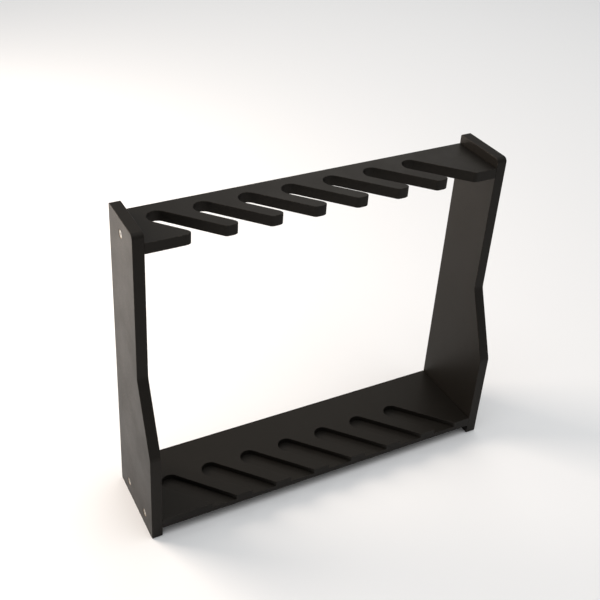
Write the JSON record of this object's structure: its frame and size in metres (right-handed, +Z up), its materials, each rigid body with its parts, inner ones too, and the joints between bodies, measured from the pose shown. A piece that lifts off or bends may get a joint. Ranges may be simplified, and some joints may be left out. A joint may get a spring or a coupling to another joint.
{
  "type": "slotted cue rack",
  "caption": "Small upright rack: a slotted top rail over a grooved base shelf, held between two flared side panels, for standing slim shafts in a row.",
  "frame": {"origin": "on the floor, midway between the side panels and midway along the depth of their feet", "axes": "+X to the right seen from the front, -Y out of the front where the slots open, +Z up"},
  "size_m": [0.315, 0.074, 0.27],
  "materials": {
    "black_paint": "fibreboard with satin black paint",
    "screw_steel": "zinc-plated",
    "pin_wood": "bare beech"
  },
  "bodies": {
    "root": {"left_side_panel": "black_paint", "right_side_panel": "black_paint", "top_slotted_rail": "black_paint", "base_grooved_shelf": "black_paint", "left_rail_screw": "screw_steel", "left_shelf_rear_screw": "screw_steel", "left_shelf_front_screw": "screw_steel", "right_rail_screw": "screw_steel", "right_shelf_rear_screw": "screw_steel", "right_shelf_front_screw": "screw_steel", "left_rail_pin": "pin_wood", "right_rail_pin": "pin_wood"}
  },
  "joints": []
}
